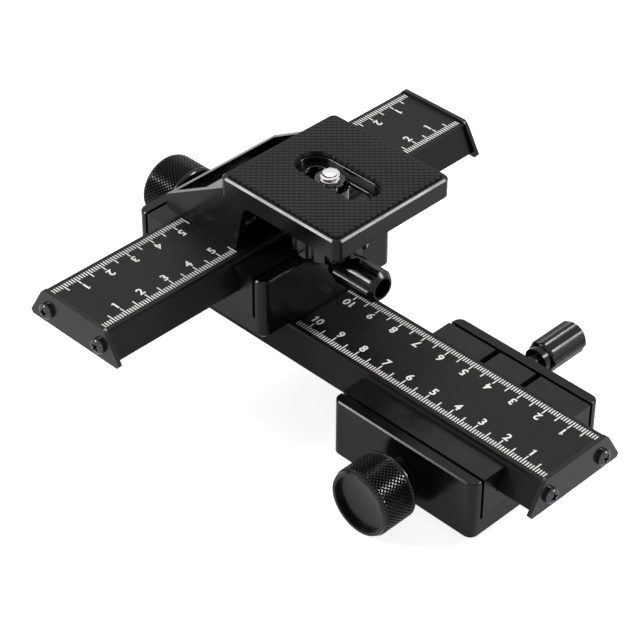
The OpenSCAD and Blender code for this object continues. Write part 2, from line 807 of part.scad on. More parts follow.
module lower_rail() {
    color([0.10, 0.10, 0.11]) difference() {
        rail(lower_rail_y0, lower_rail_y1);
        for (sx = [-1, 1], sy = [-1, 1])
            translate([upper_block_x + sx * housing_screw_dy,
                upper_block_y + sy * housing_screw_dx, rail_bottom_z]) {
                translate([0, 0, -overcut])
                    cylinder(r = m4_r + screw_gap, h = rail_h + 2 * overcut);
                translate([0, 0, -overcut])
                    cylinder(r = socket_head_r + screw_gap,
                        h = socket_head_sink + overcut);
            }
    }
}

module lower_rack() { color([0.55, 0.55, 0.57]) rack(lower_rail_y0, lower_rail_y1); }
module lower_front_cap() { color([0.11, 0.11, 0.12]) end_cap(lower_rail_y0 - cap_t); }
module lower_back_cap() { color([0.11, 0.11, 0.12]) end_cap(lower_rail_y1); }
module lower_cap_screws() {
    color([0.15, 0.15, 0.16]) cap_screws(lower_rail_y0, lower_rail_y1);
}

// Screws that hold the upper housing on the lower rail, from below
module upper_housing_screws() {
    head_z = rail_bottom_z + socket_head_sink - socket_head_h;
    hole_end_z = rail_top_z + housing_screw_depth;
    shank_l = hole_end_z - screw_tip_gap - head_z - socket_head_h;
    color([0.2, 0.2, 0.21])
        for (sx = [-1, 1], sy = [-1, 1])
            translate([upper_block_x + sx * housing_screw_dy,
                upper_block_y + sy * housing_screw_dx, head_z])
                socket_screw(m4_r, shank_l);
}

module upper_rail() {
    color([0.10, 0.10, 0.11]) difference() {
        at_upper() rail(upper_rail_y0, upper_rail_y1);
        at_platform() for (s = [-1, 1], v = platform_screw_v)
            translate([s * platform_screw_u, v,
                foot_t - platform_screw_l - screw_tip_gap])
                cylinder(r = m4_r + screw_gap, h = platform_screw_l + overcut);
    }
}

module upper_rack() {
    color([0.55, 0.55, 0.57]) at_upper() rack(upper_rail_y0, upper_rail_y1);
}
module upper_left_cap() {
    color([0.11, 0.11, 0.12]) at_upper() end_cap(upper_rail_y0 - cap_t);
}
module upper_right_cap() {
    color([0.11, 0.11, 0.12]) at_upper() end_cap(upper_rail_y1);
}
module upper_cap_screws() {
    color([0.15, 0.15, 0.16]) at_upper() cap_screws(upper_rail_y0, upper_rail_y1);
}

// --------------------------------------------------------- camera platform

// Draws a section given in Y and Z, from x0 to x1
module along_x(x0, x1) {
    translate([x0, 0, 0]) rotate([90, 0, 90]) linear_extrude(x1 - x0) children();
}

// Side view of the platform's side walls, under the plate
module web_shape() {
    front_top = [-foot_front - web_lean, plate_bottom_w];
    polygon([
        [-foot_front, 0],
        [foot_back - foot_heel_r, 0],
        [foot_back, foot_heel_r],
        [foot_back, back_rim_h],
        [plate_back_v, slope_top_w],
        front_top + [-web_arch_r, 0],
        front_top + [-0.3 * web_arch_r, -0.3 * web_arch_r],
        front_top + [0.2 * web_arch_r, -web_arch_r]
    ]);
    translate([foot_back - foot_heel_r, foot_heel_r]) circle(r = foot_heel_r);
}

// Roof of the hollow, from the plate's back down to the pocket, and the
// wall that parts the hollow from the pocket
module roof_shape() {
    polygon([
        [plate_back_v - roof_t, slope_top_w],
        [plate_back_v, slope_top_w],
        [pocket_v, pocket_top_w],
        [pocket_v, 0],
        [pocket_v - roof_t, 0],
        [pocket_v - roof_t, pocket_top_w + (slope - 1) * roof_t],
        [plate_back_v - roof_t, plate_bottom_w + skirt_depth - roof_t]
    ]);
}

// Cast bracket: foot on the rail, side walls, sloping roof with a pocket
// behind it, and the overhanging plate
module camera_platform() {
    half = foot_l / 2;
    color([0.08, 0.08, 0.09]) at_platform() difference() {
        union() {
            translate([0, -plate_reach, plate_bottom_w])
                soft_block([plate_w, plate_l, plate_t], plate_corner_r,
                    plate_foot_chamfer, plate_top_chamfer);
            for (s = [-1, 1])
                translate([s * (half - platform_wall_t / 2), 0, 0])
                    along_x(-platform_wall_t / 2, platform_wall_t / 2) web_shape();
            along_x(-half, half) roof_shape();
            along_x(-half, half)
                translate([-foot_front, 0])
                    square([foot_front + foot_back - foot_heel_r, foot_t]);
            along_x(-half, half) intersection() {
                web_shape();
                translate([foot_back - platform_wall_t, 0])
                    square([platform_wall_t, back_rim_h]);
            }
        }
        // hollow under the plate, inside its skirt
        translate([0, -plate_reach, plate_bottom_w - overcut])
            linear_extrude(skirt_depth + overcut)
                round_rect([plate_w - 2 * skirt_t, plate_l - 2 * skirt_t],
                    plate_corner_r);
        // seat of the pad
        translate([0, -plate_reach, plate_rise - pad_recess])
            linear_extrude(pad_recess + overcut) pad_outline(seat_gap);
        // stepped slot of the camera screw
        translate([0, -slot_reach, ledge_w])
            linear_extrude(plate_t) slot_shape(slot_l, slot_w);
        translate([0, -slot_reach, plate_bottom_w - overcut])
            linear_extrude(plate_t + overcut) slot_shape(inner_slot_l, inner_slot_w);
        for (s = [-1, 1], v = platform_screw_v)
            translate([s * platform_screw_u, v, -overcut])
                cylinder(r = m4_r + screw_gap, h = foot_t + 2 * overcut);
    }
}

module pad_outline(gap) {
    inset = 2 * (gap - pad_rim);
    round_rect([plate_w + inset, plate_l + inset], 1);
}

module platform_pad() {
    color([0.13, 0.13, 0.13]) at_platform()
        translate([0, -plate_reach, plate_rise - pad_recess])
            linear_extrude(pad_t) difference() {
                pad_outline(0);
                translate([0, plate_reach - slot_reach]) slot_shape(slot_l, slot_w);
            }
}

module platform_screws() {
    color([0.25, 0.25, 0.26]) at_platform()
        for (s = [-1, 1], v = platform_screw_v)
            translate([s * platform_screw_u, v, foot_t])
                pan_screw(m4_r, platform_screw_l, platform_head_r, platform_head_h);
}

// Retaining clip that slides on the slot's ledge and keeps the screw captive
module screw_clip() {
    color([0.2, 0.2, 0.2]) at_platform()
        translate([0, -screw_reach, ledge_w + seat_gap]) difference() {
            cylinder(r = clip_r, h = clip_t);
            translate([0, 0, -overcut])
                cylinder(r = camera_screw_d / 2 + screw_gap, h = clip_t + 2 * overcut);
        }
}

module camera_screw() {
    tip = 0.7;
    color([0.8, 0.8, 0.82]) at_platform() translate([0, -screw_reach, 0]) {
        translate([0, 0, thumbwheel_gap])
            cylinder(d = camera_screw_d, h = screw_top_w - thumbwheel_gap - tip);
        translate([0, 0, screw_top_w - tip])
            cylinder(d1 = camera_screw_d, d2 = camera_screw_d - 2 * tip, h = tip);
    }
}

// Twelve-sided finger wheel with a notch at each corner and a hub above it
module thumbwheel() {
    r = thumbwheel_d / 2;
    color([0.06, 0.06, 0.06]) at_platform() translate([0, -screw_reach, 0])
        difference() {
            union() {
                translate([0, 0, thumbwheel_gap])
                    rotate([0, 0, 180 / thumbwheel_notches])
                        cylinder(r = r, h = thumbwheel_h, $fn = thumbwheel_notches);
                translate([0, 0, thumbwheel_gap])
                    cylinder(r = thumbwheel_hub_r,
                        h = thumbwheel_hub_top_w - thumbwheel_gap);
            }
            translate([0, 0, thumbwheel_gap - overcut])
                cylinder(d = camera_screw_d + 2 * seat_gap,
                    h = thumbwheel_hub_top_w + 2 * overcut);
            for (k = [0 : thumbwheel_notches - 1])
                rotate([0, 0, (k + 0.5) * 360 / thumbwheel_notches])
                    translate([r, 0, thumbwheel_gap - overcut])
                        cylinder(r = notch_r, h = thumbwheel_h + 2 * overcut);
        }
}

// Threaded bush of the tripod socket
module tripod_bush() {
    color([0.7, 0.7, 0.72]) difference() {
        cylinder(d = tripod_bush_d, h = tripod_bush_l);
        translate([0, 0, -overcut])
            cylinder(d = tripod_bore_d, h = tripod_bush_l + 2 * overcut);
    }
}

lower_housing();
lower_saddle();
lower_clamp_shoe();
lower_saddle_screws();
tripod_bush();
lower_outer_bush();
lower_inner_bush();
lower_pinion_shaft();
lower_drive_knob();
lower_grub_screw();
lower_lock_screw();
lower_lock_knob();
lower_rail();
lower_rack();
lower_front_cap();
lower_back_cap();
lower_cap_screws();
upper_housing();
upper_housing_screws();
upper_saddle();
upper_clamp_shoe();
upper_saddle_screws();
upper_outer_bush();
upper_inner_bush();
upper_pinion_shaft();
upper_drive_knob();
upper_grub_screw();
upper_lock_screw();
upper_lock_knob();
upper_rail();
upper_rack();
upper_left_cap();
upper_right_cap();
upper_cap_screws();
camera_platform();
platform_pad();
platform_screws();
camera_screw();
screw_clip();
thumbwheel();
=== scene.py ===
import json
import math
import bmesh
import bpy
from mathutils import Matrix, Vector


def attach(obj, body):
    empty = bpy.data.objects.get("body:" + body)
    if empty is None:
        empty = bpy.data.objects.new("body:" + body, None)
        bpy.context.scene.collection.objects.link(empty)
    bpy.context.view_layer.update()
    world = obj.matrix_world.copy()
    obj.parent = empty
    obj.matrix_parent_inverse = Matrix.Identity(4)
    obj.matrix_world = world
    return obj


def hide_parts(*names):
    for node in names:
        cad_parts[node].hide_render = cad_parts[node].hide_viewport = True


# Macro focusing rail: two crossed dovetail slides and a raised camera platform.
# Sizes are in millimetres and become metres through mm.

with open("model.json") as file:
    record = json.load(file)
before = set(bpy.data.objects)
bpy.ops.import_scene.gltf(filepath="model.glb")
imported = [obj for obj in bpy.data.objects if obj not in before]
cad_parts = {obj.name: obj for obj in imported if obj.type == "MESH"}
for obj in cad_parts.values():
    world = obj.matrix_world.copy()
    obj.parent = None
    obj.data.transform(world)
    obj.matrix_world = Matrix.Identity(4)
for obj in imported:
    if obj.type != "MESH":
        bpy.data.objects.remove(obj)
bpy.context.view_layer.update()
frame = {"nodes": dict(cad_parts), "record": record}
nodes = frame["nodes"]
mm = 0.001
mergeDistance = 0.002 * mm      # points closer than this become one
levelDistance = 0.01 * mm       # and closer than this count as level

# A slide unit is drawn with its rail along Y. The upper one is turned and lifted by
# the height of one unit, and the platform stands on the upper one.
unitSettings = {"height": 23.9, "crossing": (3, 91.6)}
unitHeight = unitSettings["height"]
crossing = unitSettings["crossing"]
lowerPlace = Matrix.Identity(4)
upperPlace = (Matrix.Translation(Vector((*crossing, unitHeight)) * mm)
    @ Matrix.Rotation(-math.pi / 2, 4, "Z"))
platformPlace = Matrix.Translation(Vector((*crossing, 2 * unitHeight)) * mm)
units = {"lower": lowerPlace, "upper": upperPlace}
slideOf = {"lower": "lower_slide", "upper": "upper_slide"}
print("frame loaded:", len(nodes), "CAD nodes")


def deselectAll():
    if bpy.context.object and bpy.context.object.mode != "OBJECT":
        bpy.ops.object.mode_set(mode="OBJECT")
    bpy.ops.object.select_all(action="DESELECT")


def makeActive(piece):
    deselectAll()
    piece.select_set(True)
    bpy.context.view_layer.objects.active = piece


def selectWhere(piece, kind, test):
    # kind is "verts", "edges" or "faces"; test gets one of them and answers yes or no
    makeActive(piece)
    bpy.ops.object.mode_set(mode="EDIT")
    bpy.ops.mesh.select_mode(type=kind[:-1].upper())
    bpy.ops.mesh.select_all(action="DESELECT")
    mesh = bmesh.from_edit_mesh(piece.data)
    for element in getattr(mesh, kind):
        if test(element):
            element.select_set(True)
    mesh.select_flush_mode()
    bmesh.update_edit_mesh(piece.data)


def applyPlace(piece, place=None):
    # the place goes into the mesh, so the object itself sits at the origin
    if place is not None:
        piece.matrix_world = place @ piece.matrix_world
    makeActive(piece)
    bpy.ops.object.transform_apply(location=True, rotation=True, scale=True)


def joinInto(first, others):
    makeActive(first)
    for other in others:
        other.select_set(True)
    bpy.ops.object.join()
    return first


def copyPiece(piece, name, place):
    twin = piece.copy()
    twin.data = piece.data.copy()
    twin.name = name
    bpy.context.scene.collection.objects.link(twin)
    applyPlace(twin, place)
    return twin


def copyNode(nodeName, pieceName):
    # a CAD mesh is loose triangles, so its copy is merged and its flats are made whole
    piece = bpy.data.objects.new(pieceName, nodes[nodeName].data.copy())
    bpy.context.scene.collection.objects.link(piece)
    makeActive(piece)
    bpy.ops.mesh.customdata_custom_splitnormals_clear()
    bpy.ops.object.mode_set(mode="EDIT")
    bpy.ops.mesh.select_all(action="SELECT")
    bpy.ops.mesh.remove_doubles(threshold=mergeDistance)
    bpy.ops.mesh.dissolve_limited(angle_limit=math.radians(0.5))
    bpy.ops.object.mode_set(mode="OBJECT")
    return piece


def roundEdges(piece, width, segments=2, angle=28):
    makeActive(piece)
    bevel = piece.modifiers.new("Rounded edges", "BEVEL")
    bevel.width = width * mm
    bevel.segments = segments
    bevel.limit_method = "ANGLE"
    bevel.angle_limit = math.radians(angle)
    bevel.use_clamp_overlap = True
    bpy.ops.object.modifier_apply(modifier=bevel.name)


def finishPiece(piece, body, material, replaced=(), smooth=35):
    piece.data.materials.clear()
    piece.data.materials.append(material)
    applyPlace(piece)
    makeActive(piece)
    bpy.ops.object.shade_smooth_by_angle(angle=math.radians(smooth))
    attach(piece, body)
    if replaced:
        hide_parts(*replaced)


def keepFlat(piece):
    # the large faces keep their own normals, so only the rounded edges shade softly
    makeActive(piece)
    weigh = piece.modifiers.new("Flat faces", "WEIGHTED_NORMAL")
    weigh.keep_sharp = True
    weigh.weight = 100
    bpy.ops.object.modifier_apply(modifier=weigh.name)


def hexColour(code):
    parts = [int(code[i:i + 2], 16) / 255 for i in (1, 3, 5)]
    return (*[p / 12.92 if p <= 0.04045 else ((p + 0.055) / 1.055) ** 2.4 for p in parts], 1)


def addNode(tree, kind, settings=None, links=None):
    node = tree.nodes.new(kind)
    for name, value in (settings or {}).items():
        if isinstance(name, int) or name in node.inputs:
            node.inputs[name].default_value = value
        else:
            setattr(node, name, value)
    for name, source in (links or {}).items():
        tree.links.new(source, node.inputs[name])
    return node


def newMaterial(name, shaderSettings):
    material = bpy.data.materials.new(name)
    material.use_nodes = True
    tree = material.node_tree
    shader = tree.nodes["Principled BSDF"]
    for socket, value in shaderSettings.items():
        shader.inputs[socket].default_value = value
    return material, tree, shader


def grainyMaterial(name, grain, shaderSettings):
    # colour, roughness and bump from one noise of the finish's own grain size
    material, tree, shader = newMaterial(name, shaderSettings)
    place = addNode(tree, "ShaderNodeTexCoord").outputs["Object"]
    fine = addNode(tree, "ShaderNodeTexNoise", {
        "Scale": 1 / (grain["size"] * mm), "Detail": 3.0, "Roughness": 0.6}, {"Vector": place})
    broad = addNode(tree, "ShaderNodeTexNoise", {
        "Scale": 1 / (grain["patch"] * mm), "Detail": 2.0}, {"Vector": place})
    tint = addNode(tree, "ShaderNodeMix", {
        "data_type": "RGBA", 6: hexColour(grain["dark"]), 7: hexColour(grain["light"])},
        {"Factor": fine.outputs["Fac"]})
    tree.links.new(tint.outputs[2], shader.inputs["Base Color"])
    wear = addNode(tree, "ShaderNodeMapRange", {
        "From Min": 0.3, "From Max": 0.7,
        "To Min": grain["smooth"], "To Max": grain["rough"]}, {"Value": broad.outputs["Fac"]})
    tree.links.new(wear.outputs["Result"], shader.inputs["Roughness"])
    bump = addNode(tree, "ShaderNodeBump", {
        "Strength": grain["bump"], "Distance": grain["depth"] * mm},
        {"Height": fine.outputs["Fac"]})
    tree.links.new(bump.outputs["Normal"], shader.inputs["Normal"])
    return material


# Enamelled aluminium castings: near-black and smooth, so faces stay dark and edges flash.
# The real grain is about 0.2 mm; it is drawn at 0.45 mm so that it shows.
blackPaint = grainyMaterial("black_stove_enamel", {
    "size": 0.45, "patch": 9, "dark": "#050506", "light": "#0d0d0e",
    "smooth": 0.17, "rough": 0.25, "bump": 0.05, "depth": 0.02},
    {"IOR": 1.5, "Specular IOR Level": 0.22})

# Black anodised extrusions, bead-blasted first: dull, a shade greyer than the castings
blackAnodised = grainyMaterial("blasted_black_anodised_aluminium", {
    "size": 0.35, "patch": 14, "dark": "#070708", "light": "#19191a",
    "smooth": 0.36, "rough": 0.46, "bump": 0.3, "depth": 0.03},
    {"IOR": 1.5, "Specular IOR Level": 0.16})

# Machined and anodised dovetail beds: smoother than the rails, with bright thin edges
satinAnodised = grainyMaterial("satin_black_anodised_aluminium", {
    "size": 0.4, "patch": 7, "dark": "#080809", "light": "#141415",
    "smooth": 0.20, "rough": 0.32, "bump": 0.15, "depth": 0.02},
    {"IOR": 1.5, "Specular IOR Level": 0.24})

# Black-painted steel end caps: thin sheet whose cut edges shine
capPaint = grainyMaterial("black_painted_steel_sheet", {
    "size": 0.4, "patch": 8, "dark": "#070708", "light": "#141415",
    "smooth": 0.14, "rough": 0.24, "bump": 0.12, "depth": 0.02},
    {"IOR": 1.5, "Specular IOR Level": 0.3})

# Turned and knurled aluminium, anodised bright black: every diamond glints
knurledAnodised = grainyMaterial("knurled_black_anodised_aluminium", {
    "size": 0.3, "patch": 6, "dark": "#040405", "light": "#0a0a0b",
    "smooth": 0.18, "rough": 0.25, "bump": 0.08, "depth": 0.02},
    {"IOR": 1.5, "Specular IOR Level": 0.34})

# Injection-moulded glossy nylon: deep black with soft streaks of light along the flutes
glossMoulding = grainyMaterial("glossy_black_nylon", {
    "size": 2.0, "patch": 5, "dark": "#040405", "light": "#070708",
    "smooth": 0.18, "rough": 0.27, "bump": 0.04, "depth": 0.05},
    {"IOR": 1.5, "Specular IOR Level": 0.27})

# Moulded thumbwheel plastic: glossier, and painted a little paler as light, so its flutes show in
# the shade
wheelMoulding = grainyMaterial("black_moulded_nylon", {
    "size": 0.6, "patch": 6, "dark": "#060607", "light": "#0e0e10",
    "smooth": 0.16, "rough": 0.26, "bump": 0.12, "depth": 0.03},
    {"IOR": 1.5, "Specular IOR Level": 0.45})

# Black-oxidised screws: oily dark steel with small bright glints
blackenedSteel = grainyMaterial("black_oxide_steel", {
    "size": 0.5, "patch": 3, "dark": "#2a2a2c", "light": "#606062",
    "smooth": 0.12, "rough": 0.20, "bump": 0.06, "depth": 0.02}, {"Metallic": 0.95})

# The platform's own screws and the lock screws sit in shade: they are duller, and their steel is
# painted darker as that shade
dullShadedSteel = grainyMaterial("dull_black_oxide_steel", {
    "size": 0.5, "patch": 3, "dark": "#161617", "light": "#2e2e30",
    "smooth": 0.28, "rough": 0.42, "bump": 0.06, "depth": 0.02}, {"Metallic": 0.85})

# Zinc-plated steel: pale, slightly cloudy metal
zincSteel = grainyMaterial("zinc_plated_steel", {
    "size": 0.8, "patch": 3, "dark": "#8e9094", "light": "#b6b8bb",
    "smooth": 0.26, "rough": 0.40, "bump": 0.05, "depth": 0.02}, {"Metallic": 1.0})

# Nickel-plated screw thread: the one bright metal in view
brightSteel = grainyMaterial("nickel_plated_steel", {
    "size": 0.5, "patch": 2, "dark": "#d4d3cf", "light": "#f0efeb",
    "smooth": 0.18, "rough": 0.30, "bump": 0.05, "depth": 0.01}, {"Metallic": 1.0})

# Turned brass bushes: warm yellow metal with fine tool marks
bushBrass = grainyMaterial("turned_brass", {
    "size": 0.4, "patch": 3, "dark": "#9c7a3c", "light": "#c39a50",
    "smooth": 0.24, "rough": 0.36, "bump": 0.08, "depth": 0.01}, {"Metallic": 1.0})

# White pad-printing ink on the rails: flat, dense and slightly chalky
scaleInk = grainyMaterial("white_printing_ink", {
    "size": 0.3, "patch": 4, "dark": "#f0f0ee", "light": "#fdfdfb",
    "smooth": 0.50, "rough": 0.62, "bump": 0.05, "depth": 0.01}, {"IOR": 1.45})


pipSettings = {
    "pitch": 1.67,          # between rows
    "shallow": 0.55,        # how much less the grooves one way cut in than the other
    "height": 0.12,
    # painted shade in the valleys between the pips
    "valleyShade": "#141414",
    "top": "#4a4a4a",
    "dust": "#a9a9a4",
}


def makePadRubber():
    # Moulded nitrile rubber: charcoal and dull, with rows of small square pips set at 45 degrees
    # to the plate. The valleys between the pips are painted dark as shade, and a few specks of dust
    # lie on the pips.
    pips = pipSettings
    material, tree, shader = newMaterial("pipped_nitrile_rubber", {
        "IOR": 1.45, "Specular IOR Level": 0.15, "Roughness": 0.8})
    place = addNode(tree, "ShaderNodeTexCoord").outputs["Object"]
    turned = addNode(tree, "ShaderNodeMapping", {
        "Rotation": (0, 0, math.radians(45)),
        "Scale": [2 * math.pi / (pips["pitch"] * mm)] * 3}, {"Vector": place})
    axes = addNode(tree, "ShaderNodeSeparateXYZ", {}, {"Vector": turned.outputs["Vector"]})
    waveX = addNode(tree, "ShaderNodeMath", {"operation": "SINE"}, {0: axes.outputs["X"]})
    waveY = addNode(tree, "ShaderNodeMath", {"operation": "SINE"}, {0: axes.outputs["Y"]})
    shallowX = addNode(tree, "ShaderNodeMath", {"operation": "SUBTRACT", 1: pips["shallow"]},
        {0: waveX.outputs["Value"]})
    cross = addNode(tree, "ShaderNodeMath", {"operation": "MAXIMUM"}, {
        0: shallowX.outputs["Value"], 1: waveY.outputs["Value"]})
    height = addNode(tree, "ShaderNodeMapRange", {
        "From Min": -0.4, "From Max": 0.9, "To Min": 1.0, "To Max": 0.0},
        {"Value": cross.outputs["Value"]})
    grime = addNode(tree, "ShaderNodeTexNoise", {
        "Scale": 1 / (0.5 * mm), "Detail": 4.0}, {"Vector": place})
    # the pips' relief, uneven along a noise: it makes the bump, and mixes the valleys' painted
    # shade with the rubber's charcoal on the tops
    reliefAndShade = addNode(tree, "ShaderNodeMath", {"operation": "MULTIPLY"}, {
        0: height.outputs["Result"], 1: grime.outputs["Fac"]})
    specks = addNode(tree, "ShaderNodeMapRange", {"From Min": 0.735, "From Max": 0.76},
        {"Value": grime.outputs["Fac"]})
    tint = addNode(tree, "ShaderNodeMix", {
        "data_type": "RGBA", 6: hexColour(pips["valleyShade"]), 7: hexColour(pips["top"])},
        {"Factor": reliefAndShade.outputs["Value"]})
    dusty = addNode(tree, "ShaderNodeMix", {
        "data_type": "RGBA", 7: hexColour(pips["dust"])},
        {"Factor": specks.outputs["Result"], 6: tint.outputs[2]})
    tree.links.new(dusty.outputs[2], shader.inputs["Base Color"])
    bump = addNode(tree, "ShaderNodeBump", {"Strength": 0.6, "Distance": pips["height"] * mm},
        {"Height": reliefAndShade.outputs["Value"]})
    tree.links.new(bump.outputs["Normal"], shader.inputs["Normal"])
    return material


padRubber = makePadRubber()
print("materials made:", len(bpy.data.materials))


# the castings and extrusions keep the CAD shapes and get their edges broken
brokenEdges = {
    # node: (edge radius in mm, segments)
    "lower_housing": (0.3, 3),
    "upper_housing": (0.3, 3),
    "lower_saddle": (0.2, 2),
    "upper_saddle": (0.2, 2),
    "lower_clamp_shoe": (0.15, 2),
    "upper_clamp_shoe": (0.15, 2),
    "lower_rail": (0.18, 2),
    "upper_rail": (0.18, 2),
    "lower_front_cap": (0.25, 2),
    "lower_back_cap": (0.25, 2),
    "upper_left_cap": (0.25, 2),
    "upper_right_cap": (0.25, 2),
    "camera_platform": (0.15, 2),
    "lower_lock_knob": (0.3, 3),
    "upper_lock_knob": (0.3, 3),
    "thumbwheel": (0.45, 3),
}
finishOfKind = {
    "housing": blackPaint,
    "saddle": satinAnodised,
    "shoe": satinAnodised,
    "rail": blackAnodised,
    "cap": capPaint,
    "platform": blackPaint,
    "knob": glossMoulding,
    "thumbwheel": wheelMoulding,
}
slotOfNode = {part["node"]: part["material_slot"] for part in frame["record"]["subparts"]}
bodyOfNode = {
    node: body
    for body, members in frame["record"]["behaviour"]["bodies"].items()
    for node in members
}
rimSettings = {
    "innerEdge": 109.6,     # place and height of the rim's inner edge
    "top": 53.3,
    "reach": 0.05,
    "lift": 1.39,
}


def slopeBackRim(platform):
    # the top of the rim behind the pocket follows the slope of the side walls
    s = rimSettings
    selectWhere(platform, "verts", lambda vert:
        abs(vert.co.y / mm - s["innerEdge"]) < s["reach"]
        and abs(vert.co.z / mm - s["top"]) < s["reach"])
    bpy.ops.transform.translate(value=(0, 0, s["lift"] * mm))
    bpy.ops.object.mode_set(mode="OBJECT")


# the rims of the slot for the camera screw are eased, and the pad is cut back from them
slotSettings = {
    "centre": (3, 59),
    "halfSize": (6.4, 15.7),    # just past the slot's outline
    "rimHeights": (71.0, 72.8),
    "reach": 0.02,
    "rimWidth": 0.4,
    "padGap": 0.45,             # between the pad and the upper rim
    "sharpFrom": 0.5,           # radians between the two faces of a rim's edge
}


def inSlot(vert):
    s = slotSettings
    return (abs(vert.co.x / mm - s["centre"][0]) < s["halfSize"][0]
        and abs(vert.co.y / mm - s["centre"][1]) < s["halfSize"][1])


def easeSlotRims(platform):
    s = slotSettings

    def onRim(edge):
        heights = [vert.co.z / mm for vert in edge.verts]
        level = any(max(abs(h - rim) for h in heights) < s["reach"] for rim in s["rimHeights"])
        return (level and all(inSlot(vert) for vert in edge.verts)
            and edge.is_convex and edge.calc_face_angle(0) > s["sharpFrom"])

    selectWhere(platform, "edges", onRim)
    bpy.ops.mesh.bevel(offset=s["rimWidth"] * mm, segments=3, profile=0.5, clamp_overlap=True)
    bpy.ops.object.mode_set(mode="OBJECT")


def widenPadSlot(pad):
    s = slotSettings
    selectWhere(pad, "verts", inSlot)
    grow = [1 + s["padGap"] / half for half in s["halfSize"]]
    bpy.ops.transform.resize(value=(grow[0], grow[1], 1),
        center_override=(s["centre"][0] * mm, s["centre"][1] * mm, 0))
    bpy.ops.object.mode_set(mode="OBJECT")


for nodeName, (width, segments) in brokenEdges.items():
    piece = copyNode(nodeName, nodeName + "_finished")
    if nodeName == "camera_platform":
        slopeBackRim(piece)
        easeSlotRims(piece)
    roundEdges(piece, width, segments)
    finishPiece(piece, bodyOfNode[nodeName],
        finishOfKind[nodeName.split("_")[-1]], [nodeName])
    keepFlat(piece)
print("castings and extrusions finished")


# the drive knobs are turned barrels covered with cut diamonds
knobSettings = {
    "radius": 11.5,
    "rootRadius": 10.95,
    "axisHeight": 8.2,
    "around": 54,
    "rowPitch": 1.52,
    "rows": 7,
    "bandStart": 35.1,      # distance of the knurl's back end from the block's centre
    "bandEnd": 46.9,
    "endStep": 0.3,         # width of the plain ring at each end of the knurl
    "tipShare": 0.48,       # of a diamond's foot
    "overlap": 1.02,        # of neighbouring diamonds
    "sunk": 0.12,           # how deep the diamonds stand in the barrel
    "below": 0.004,         # their tips stay this much inside the barrel's radius
    "firstRow": 0.2,        # from the start of the knurl
    "skin": 0.5,            # what lies this near the outside is turned down,
    "margin": 0.2,          # if it is this far inside both ends of the knurl
    "edgeRadius": 0.2,
}


def makeKnurledKnob():
    s = knobSettings
    centreZ = s["axisHeight"]
    start, end, step = s["bandStart"], s["bandEnd"], s["endStep"]
    barrel = copyNode("lower_drive_knob", "knob_barrel")
    # rings are cut just inside both ends of the knurl, and what lies between is turned down
    for cut in (start, start + step, end - step, end):
        selectWhere(barrel, "faces", lambda face: True)
        bpy.ops.mesh.bisect(plane_co=(-cut * mm, 0, 0), plane_no=(1, 0, 0))
        bpy.ops.object.mode_set(mode="OBJECT")

    def inBand(vert):
        radius = math.hypot(vert.co.y, vert.co.z - centreZ * mm)
        across = -vert.co.x / mm
        return (radius > (s["radius"] - s["skin"]) * mm
            and start + s["margin"] < across < end - s["margin"])

    selectWhere(barrel, "verts", inBand)
    shrink = s["rootRadius"] / s["radius"]
    bpy.ops.transform.resize(value=(1, shrink, shrink), center_override=(0, 0, centreZ * mm))
    bpy.ops.object.mode_set(mode="OBJECT")
    roundEdges(barrel, s["edgeRadius"], 2, 30)

    # one diamond and its neighbour half a pitch on, then an array round and an array along
    halfWide = math.pi * s["radius"] / s["around"]
    studs = []
    for half in (0, 1):
        deselectAll()
        bpy.ops.mesh.primitive_cone_add(
            vertices=4, radius1=1, radius2=s["tipShare"], depth=1, end_fill_type="NGON")
        stud = bpy.context.object
        deep = s["radius"] - s["rootRadius"] + s["sunk"]
        stud.scale = (s["rowPitch"] / 2 * mm, halfWide * s["overlap"] * mm, deep * mm)
        stud.location = (0, 0, (s["radius"] - deep / 2 - s["below"]) * mm)
        applyPlace(stud)
        turn = Matrix.Rotation(math.pi / s["around"] * half, 4, "X")
        along = -(start + s["rowPitch"] * (0.5 + half / 2) + s["firstRow"]) * mm
        applyPlace(stud, Matrix.Translation((along, 0, 0)) @ turn)
        studs.append(stud)
    stud = joinInto(studs[0], studs[1:])
    bpy.ops.object.empty_add(location=(0, 0, 0), rotation=(2 * math.pi / s["around"], 0, 0))
    turner = bpy.context.object
    makeActive(stud)
    ring = stud.modifiers.new("Round the knob", "ARRAY")
    ring.count = s["around"]
    ring.use_relative_offset = False
    ring.use_object_offset = True
    ring.offset_object = turner
    bpy.ops.object.modifier_apply(modifier=ring.name)
    rows = stud.modifiers.new("Along the knob", "ARRAY")
    rows.count = s["rows"]
    rows.use_relative_offset = False
    rows.use_constant_offset = True
    rows.constant_offset_displace = (-s["rowPitch"] * mm, 0, 0)
    bpy.ops.object.modifier_apply(modifier=rows.name)
    bpy.data.objects.remove(turner)
    applyPlace(stud, Matrix.Translation((0, 0, centreZ * mm)))
    return joinInto(barrel, [stud])


knob = makeKnurledKnob()
for unit, place in units.items():
    turned = copyPiece(knob, unit + "_drive_knob_knurled", place)
    finishPiece(turned, unit + "_drive", knurledAnodised,
        [unit + "_drive_knob"], smooth=25)
bpy.data.objects.remove(knob)
print("drive knobs knurled")


# the screws have domed heads and cross recesses
screwSettings = {
    "cap": {"headRadius": 2.7, "headHeight": 1.9, "shankRadius": 1.5, "shankLength": 9.0},
    "platform": {"headRadius": 3.6, "headHeight": 2.6, "shankRadius": 2.0, "shankLength": 9.0},
    "domeShare": 0.62,      # of the head's height that is rounded
    "crossWidth": 1.1,      # of the cap screws, and wider on wider heads
    "crossLength": 3.7,
    "crossDepth": 1.15,
    "crossTaper": 0.6,      # size of the recess at its bottom
    "shankChamfer": (0.4, 0.2),
}


